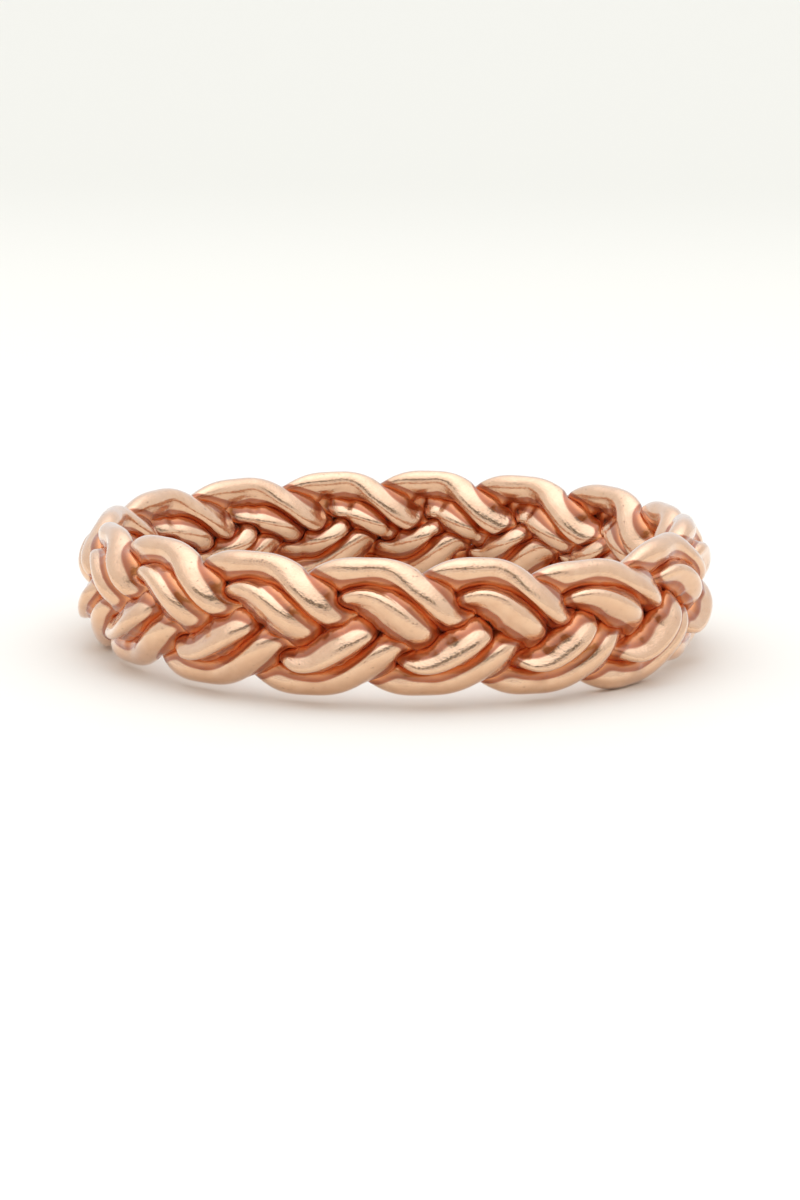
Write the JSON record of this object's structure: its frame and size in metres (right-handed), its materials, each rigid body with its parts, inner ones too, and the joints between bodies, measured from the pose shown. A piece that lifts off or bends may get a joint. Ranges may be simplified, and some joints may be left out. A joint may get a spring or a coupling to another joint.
{
  "type": "braided bangle",
  "caption": "Stiff bangle of glossy rose-gold tubes lined with metal foil, plaited flat in doubled strands and closed to a ring with scalloped edges",
  "frame": {"origin": "centre of the ring, on the plane that it lies on", "axes": "+Z is the ring's axis, up through the wrist opening; -Y is the front that the picture looks at; +X is to the right; the plait is closed at +X"},
  "size_m": [0.0772, 0.0772, 0.0172],
  "materials": {
    "upper_tube_foil": "clear soft plastic tube over crinkled rose-gold foil, glossy, fine-grained, with small dark specks",
    "lower_tube_foil": "the same clear tube over rose-gold foil, a little deeper in tone where it lies in the plait"
  },
  "bodies": {
    "root": {"strand_1_upper_tube": "upper_tube_foil", "strand_1_lower_tube": "lower_tube_foil", "strand_2_upper_tube": "upper_tube_foil", "strand_2_lower_tube": "lower_tube_foil", "strand_3_upper_tube": "upper_tube_foil", "strand_3_lower_tube": "lower_tube_foil"}
  },
  "joints": []
}
